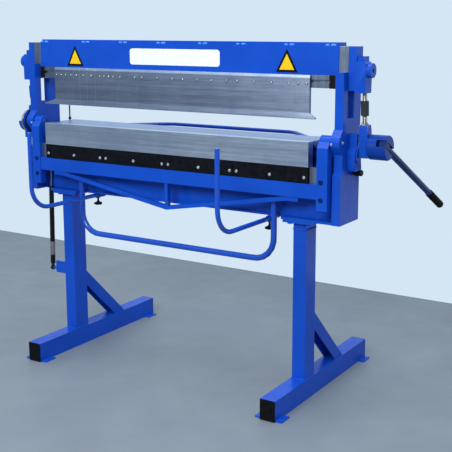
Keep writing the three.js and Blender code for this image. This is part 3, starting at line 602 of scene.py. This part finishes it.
FILM = 0.4 * MM
SIGN_WIDTH, SIGN_HEIGHT, SIGN_BORDER = 91 * MM, 85 * MM, 9 * MM
SIGN_PLACES = {"left": -516 * MM, "right": 505 * MM}
SIGN_DROP = 97 * MM  # below the top of the beam
SIGN_SHRINK = SIGN_BORDER * 3.2  # how much narrower the yellow face is than the border round it


def warning_sign(side):
    """A plain warning triangle, with no pictogram and no lettering."""
    x, z = MIDDLE + SIGN_PLACES[side], BEAM_TOP - SIGN_DROP
    border = triangle(x, z, SIGN_WIDTH, SIGN_HEIGHT, BEAM_FRONT)
    face = triangle(x, z + SIGN_BORDER, SIGN_WIDTH - SIGN_SHRINK,
                    SIGN_HEIGHT * (1 - SIGN_SHRINK / SIGN_WIDTH), BEAM_FRONT - FILM)
    sticker(f"sign_border_{side}", border, BLACK_MOULDED, FILM)
    sticker(f"sign_face_{side}", face, LABEL_YELLOW, 0.3 * MM)


PLATE = {"left": -222 * MM, "right": 213 * MM, "bottom": -84 * MM, "top": -20 * MM, "corner": 12 * MM}


def blank_name_plate():
    outline = rounded_rectangle(
        MIDDLE + PLATE["left"], MIDDLE + PLATE["right"],
        BEAM_TOP + PLATE["bottom"], BEAM_TOP + PLATE["top"], BEAM_FRONT, PLATE["corner"],
    )
    sticker("blank_name_plate", outline, LABEL_WHITE, FILM)


RAIL_END = {"over": 20 * MM, "past": 4 * MM, "below": 1 * MM, "above": 0.2 * MM, "back": 0.5 * MM}
RAIL_END_DEPTH = 40 * MM


def rail_end(side, sign):
    """The black cap on an end of the segment rail."""
    end = outer_x("segment_rail", sign)
    x0, x1 = sorted((end - sign * RAIL_END["over"], end + sign * RAIL_END["past"]))
    bottom, top = rail_low.z - RAIL_END["below"], rail_high.z + RAIL_END["above"]
    y = rail_low.y + RAIL_END["back"]
    outline = [Vector((x, y, z)) for x, z in ((x0, bottom), (x1, bottom), (x1, top), (x0, top))]
    bm = bmesh.new()
    prism(bm, outline, RAIL_END_DEPTH * Y)
    piece(f"rail_end_{side}", bm, BLACK_ENAMEL, "clamp_beam", bevel=1 * MM)


segment_screws()
beam_beads()
for side in SIDES:
    warning_sign(side)
blank_name_plate()
for side, sign in SIDES.items():
    rail_end(side, sign)


# ---------------------------------------------------------------- clamp drive details

BLOCK_HALF, BLOCK_NECK, BLOCK_SKIN = 20 * MM, 14 * MM, 0.5 * MM
BLOCK_BOTTOM, BLOCK_SHOULDER, BLOCK_TOP = 310 * MM, 215 * MM, 193 * MM  # below the upper pivot


def link_block(side):
    """The painted block at the foot of a link rod, laid over the rod node's own block."""
    low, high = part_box(f"link_rod_{side}")
    pivot = Vector(JOINTS[f"link_swing_{side}"]["pos_m"])
    up = Vector(JOINTS[f"turnbuckle_turn_{side}"]["axis"])
    across = up.cross(X) * -1
    half, bottom, top = BLOCK_HALF + BLOCK_SKIN, BLOCK_BOTTOM + BLOCK_SKIN, BLOCK_TOP - BLOCK_SKIN
    outline = [
        (-half, bottom), (half, bottom), (half, BLOCK_SHOULDER),
        (BLOCK_NECK, top), (-BLOCK_NECK, top), (-half, BLOCK_SHOULDER),
    ]
    corner = Vector((low.x - BLOCK_SKIN, pivot.y, pivot.z))
    bm = bmesh.new()
    prism(bm, [corner + across * y - up * below for y, below in outline],
          (high.x - low.x + 2 * BLOCK_SKIN) * X)
    piece(f"link_block_{side}", bm, BLUE, f"link_{side}", bevel=2 * MM)


for side in SIDES:
    link_block(side)


# ---------------------------------------------------------------- frame details

APRON_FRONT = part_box("apron_beam")[0].y
BED_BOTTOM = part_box("bed_beam")[0].z
BED_FLOOR = 8 * MM

BUFFER_PROFILE = [
    (0, 0), (9 * MM, 0), (9 * MM, 7 * MM), (11.5 * MM, 7 * MM), (11.5 * MM, 31 * MM),
    (9.5 * MM, 34 * MM), (0, 34 * MM),
]
BUFFER_BACK, BUFFER_DROP = 3 * MM, 12 * MM


def stop_buffer(side, sign):
    """The black stop behind and below the shaft's bearing block."""
    name = f"shaft_bearing_{side}"
    low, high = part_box(name)
    at = Vector((inner_x(name, sign), high.y + BUFFER_BACK, low.z - BUFFER_DROP))
    bm = bmesh.new()
    turned(bm, BUFFER_PROFILE, at, sign * X)
    piece(f"stop_buffer_{side}", bm, BLACK_ENAMEL, "frame")


LEG_BOLTS_ALONG = (533 * MM, 614 * MM)
LEG_BOLT_DEPTH = 58 * MM


def leg_bolts(side, sign):
    bm = bmesh.new()
    for along in LEG_BOLTS_ALONG:
        at = Vector((MIDDLE + sign * along, APRON_FRONT + LEG_BOLT_DEPTH, BED_BOTTOM + BED_FLOOR))
        hex_bolt(bm, at, Z, 9 * MM)
    # The bolt heads take the blue lightened as a painted highlight.
    piece(f"leg_bolts_{side}", bm, PAINTED_HIGHLIGHT_BLUE, "frame")


POST_HALF, POST_FRONT, POST_DEPTH = 27.5 * MM, 57 * MM, 78 * MM
PLATE_BELOW_BED = 11.3 * MM  # from the bed's bottom down to where the post meets the head plate
LEG_BEAD, BEAD_OUT = 3.2 * MM, 1 * MM


def leg_welds(side):
    """The fillet welds at the foot of the post, and under the head plate."""
    cap_low, cap_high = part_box(f"foot_cap_{side}_front")
    middle = (cap_low.x + cap_high.x) / 2
    front = APRON_FRONT + POST_FRONT
    rear = front + POST_DEPTH
    bm = bmesh.new()
    for z in (cap_high.z + BEAD_OUT, BED_BOTTOM - PLATE_BELOW_BED):
        ends = [Vector((middle + x, front - BEAD_OUT, z)) for x in (-POST_HALF, POST_HALF)]
        weld_bead(bm, *ends, LEG_BEAD)
        for x in (middle - POST_HALF - BEAD_OUT, middle + POST_HALF + BEAD_OUT):
            weld_bead(bm, Vector((x, front, z)), Vector((x, rear, z)), LEG_BEAD)
    piece(f"leg_welds_{side}", bm, BLUE, "frame")


for side, sign in SIDES.items():
    stop_buffer(side, sign)
    leg_bolts(side, sign)
    leg_welds(side)


# ---------------------------------------------------------------- gas spring label

GAS_RADIUS = 10.5 * MM
LABEL_STEPS = 14
LABEL_FROM, LABEL_SPAN = -130, 150  # degrees round the cylinder
LABEL_BOTTOM, LABEL_TOP = 60 * MM, 120 * MM  # above the foot
LABEL_INSIDE, LABEL_OUTSIDE = GAS_RADIUS + 0.05 * MM, GAS_RADIUS + 0.3 * MM


def gas_spring_label():
    """A plain grey band on the leaning cylinder."""
    foot = Vector(JOINTS["gas_spring_tilt"]["pos_m"])
    along = Vector(JOINTS["gas_spring_stroke"]["axis"]).normalized()
    sideways = Y.cross(along)
    centre = foot + LABEL_BOTTOM * along
    angles = [math.radians(LABEL_FROM + LABEL_SPAN * i / LABEL_STEPS) for i in range(LABEL_STEPS + 1)]
    arcs = [
        [centre + reach * (math.cos(a) * sideways + math.sin(a) * Y) for a in angles]
        for reach in (LABEL_INSIDE, LABEL_OUTSIDE)
    ]
    bm = bmesh.new()
    prism(bm, arcs[0] + arcs[1][::-1], (LABEL_TOP - LABEL_BOTTOM) * along)
    piece("gas_spring_label", bm, LABEL_GREY, "gas_cylinder")


gas_spring_label()


# ---------------------------------------------------------------- knobs

STEM_RADIUS, STEM_BOTTOM = 4 * MM, 12 * MM
HUB_PROFILE = [
    (0, 0), (7 * MM, 0.5 * MM), (8.5 * MM, 4 * MM), (8 * MM, 12 * MM), (6 * MM, 17 * MM), (0, 17.5 * MM),
]
STAR_PROFILE = [
    (9 * MM, 2 * MM), (14 * MM, 1 * MM), (16 * MM, 4 * MM), (16 * MM, 8 * MM), (13 * MM, 11 * MM),
    (8 * MM, 12 * MM),
]
STAR_SIDES, STAR_LOBES, LOBE_SWELL = 60, 5, 0.16
STAR_CORE = 9.5 * MM  # rings of the star wider than this are lobed


def star(bm, centre):
    """The lobed hand wheel of a knob."""
    rings = []
    for radius, z in STAR_PROFILE:
        swell = LOBE_SWELL if radius > STAR_CORE else 0
        ring = []
        for i in range(STAR_SIDES):
            angle = 2 * math.pi * i / STAR_SIDES
            lobed = radius * (1 + swell * math.cos(STAR_LOBES * angle))
            ring.append(bm.verts.new(centre + Vector((lobed * math.cos(angle), lobed * math.sin(angle), z))))
        rings.append(ring)
    for low, high in zip(rings, rings[1:]):
        for i in range(STAR_SIDES):
            j = (i + 1) % STAR_SIDES
            bm.faces.new([low[i], low[j], high[j], high[i]])
    bm.faces.new(rings[0])
    bm.faces.new(rings[-1])


def star_knob(side):
    name = f"clamp_knob_{side}"
    low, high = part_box(name)
    centre = Vector(((low.x + high.x) / 2, (low.y + high.y) / 2, low.z))
    top = high.z - low.z
    bm = bmesh.new()
    turned(bm, [(0, STEM_BOTTOM), (STEM_RADIUS, STEM_BOTTOM), (STEM_RADIUS, top), (0, top)],
           centre, Z, sides=16)
    turned(bm, HUB_PROFILE, centre, Z, sides=20)
    star(bm, centre)
    knob = piece(f"star_knob_{side}", bm, BLACK_MOULDED, name)
    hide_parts(name)


for side in SIDES:
    star_knob(side)


# ---------------------------------------------------------------- stage, light and camera

FLOOR_HALF, FLOOR_REAR = 20, 1.35  # the floor ends behind the machine, where the pale surroundings begin


def lay_floor():
    corners = [
        (-FLOOR_HALF, -FLOOR_HALF, 0), (FLOOR_HALF, -FLOOR_HALF, 0),
        (FLOOR_HALF, FLOOR_REAR, 0), (-FLOOR_HALF, FLOOR_REAR, 0),
    ]
    mesh = bpy.data.meshes.new("floor")
    mesh.from_pydata(corners, [], [(0, 1, 2, 3)])
    mesh.materials.append(floor_paint())
    floor = bpy.data.objects.new("floor", mesh)
    bpy.context.scene.collection.objects.link(floor)


def studio_world(colour, behind_operator, behind_machine):
    """Pale surroundings, brighter above and behind the machine than behind the operator."""
    world = bpy.data.worlds.new("studio")
    bpy.context.scene.world = world
    world.use_nodes = True
    tree = world.node_tree
    background = tree.nodes["Background"]
    background.inputs["Color"].default_value = (*colour, 1)
    direction = tree.nodes.new("ShaderNodeTexCoord").outputs["Generated"]
    height = tree.nodes.new("ShaderNodeVectorMath")
    height.operation = "DOT_PRODUCT"
    height.inputs[1].default_value = (0, 1, 1)
    strength = tree.nodes.new("ShaderNodeMapRange")
    strength.inputs["From Min"].default_value = -1
    strength.inputs["From Max"].default_value = 0.4
    strength.inputs["To Min"].default_value = behind_operator
    strength.inputs["To Max"].default_value = behind_machine
    tree.links.new(direction, height.inputs[0])
    tree.links.new(height.outputs["Value"], strength.inputs["Value"])
    tree.links.new(strength.outputs["Result"], background.inputs["Strength"])


LIT_POINT = Vector((0, 0, 0.9))


def area_light(name, at, size, power, colour=(1, 1, 1)):
    data = bpy.data.lights.new(name, "AREA")
    data.shape = "RECTANGLE"
    data.size, data.size_y = size
    data.energy = power
    data.color = colour
    light = bpy.data.objects.new(name, data)
    light.location = at
    light.rotation_euler = (LIT_POINT - Vector(at)).to_track_quat("-Z", "Y").to_euler()
    bpy.context.scene.collection.objects.link(light)


SENSOR, LENS = 36, 71.74832  # millimetres
CAMERA_PLACE = (2.08237, -3.03504, 1.39954)
CAMERA_SHIFT = (-0.0531, -0.0686)
CAMERA_YAW, CAMERA_PITCH, CAMERA_ROLL = (math.radians(a) for a in (31.319, 79.55, 0.112))


def set_camera():
    data = bpy.data.cameras.new("camera")
    data.sensor_width = SENSOR
    data.lens = LENS
    data.shift_x, data.shift_y = CAMERA_SHIFT
    camera = bpy.data.objects.new("camera", data)
    camera.location = CAMERA_PLACE
    turn = Matrix.Rotation(CAMERA_YAW, 3, "Z") @ Matrix.Rotation(CAMERA_PITCH, 3, "X")
    camera.rotation_euler = (turn @ Matrix.Rotation(CAMERA_ROLL, 3, "Z")).to_euler()
    bpy.context.scene.collection.objects.link(camera)
    bpy.context.scene.camera = camera


lay_floor()
studio_world((0.66, 0.79, 0.91), behind_operator=0.3, behind_machine=1.0)
bpy.context.scene.view_settings.view_transform = "Standard"
area_light("key", (0.6, -4.4, 3.2), size=(2.6, 1.6), power=190, colour=(1.0, 0.97, 0.94))
area_light("top", (0.0, -0.4, 4.2), size=(3.0, 2.0), power=60)
set_camera()
